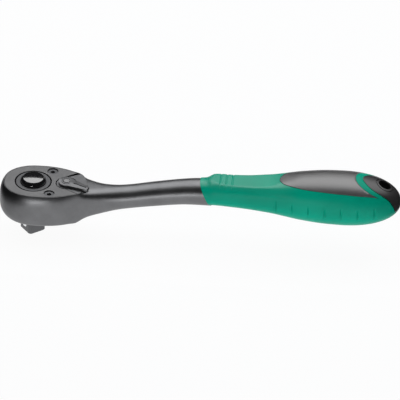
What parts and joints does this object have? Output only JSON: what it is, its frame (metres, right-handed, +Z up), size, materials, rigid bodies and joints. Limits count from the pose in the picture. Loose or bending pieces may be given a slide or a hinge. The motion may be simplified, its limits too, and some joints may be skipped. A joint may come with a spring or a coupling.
{
  "type": "reversible ratchet",
  "caption": "Square-drive reversible ratchet with a teardrop head, quick-release button, reversing lever, bent steel shaft and two-component moulded grip.",
  "frame": {"origin": "middle of the drive square's end face, on the drive axis", "axes": "+Z up the drive axis to the cover plate, +X along the handle to its tail, +Y across the head"},
  "size_m": [0.2693, 0.0428, 0.0576],
  "materials": {
    "satin_steel": "satin, blasted dark chrome",
    "plate_steel": "satin, blasted dark chrome",
    "dark_steel": "satin, dark",
    "bright_steel": "polished",
    "spring_steel": "drawn wire",
    "green_plastic": "semi-gloss moulded",
    "grey_rubber": "matt soft moulding",
    "cap_plastic": "satin moulded",
    "black_plastic": "high gloss",
    "seal_rubber": "matt"
  },
  "bodies": {
    "handle": {"ratchet_body": "satin_steel", "cover_plate": "plate_steel", "cover_screw_near": "dark_steel", "cover_screw_far": "dark_steel", "thrust_washer": "bright_steel", "drive_seal_ring": "seal_rubber", "hub_seal_ring": "seal_rubber", "handle_shell": "green_plastic", "grip_inlay": "grey_rubber", "end_cap": "cap_plastic"},
    "drive": {"drive_gear": "dark_steel", "button_snap_ring": "spring_steel", "release_spring": "spring_steel"},
    "release": {"release_button": "black_plastic", "release_pin": "bright_steel"},
    "ball": {"detent_ball": "bright_steel"},
    "lever": {"reversing_lever": "satin_steel", "lever_seal_ring": "seal_rubber", "lever_spindle": "bright_steel", "pawl_plunger": "bright_steel", "plunger_spring": "spring_steel"},
    "pawl": {"pawl": "dark_steel"}
  },
  "joints": [
    {"name": "drive_spin", "type": "hinge", "parent": "handle", "child": "drive", "pos_m": [0, 0, 0], "axis": [0, 0, 1], "continuous": true},
    {"name": "release_press", "type": "slide", "parent": "drive", "child": "release", "axis": [0, 0, -1], "range_m": [0, 0.003], "stiffness_N_per_m": 600, "springref_m": -0.002, "deforming": ["release_spring"]},
    {"name": "ball_retract", "type": "slide", "parent": "drive", "child": "ball", "axis": [0.7986, 0.6018, 0], "range_m": [0, 0.0012]},
    {"name": "lever_turn", "type": "hinge", "parent": "handle", "child": "lever", "pos_m": [0.0224, 0, 0], "axis": [0, 0, 1], "range_deg": [0, 52]},
    {"name": "pawl_rock", "type": "hinge", "parent": "handle", "child": "pawl", "pos_m": [0.0224, 0, 0], "axis": [0, 0, 1], "range_deg": [-8.32, 0]}
  ],
  "couplings": [
    {"joint": "ball_retract", "follows": "release_press", "ratio": 0.4},
    {"joint": "pawl_rock", "follows": "lever_turn", "ratio": -0.16}
  ]
}
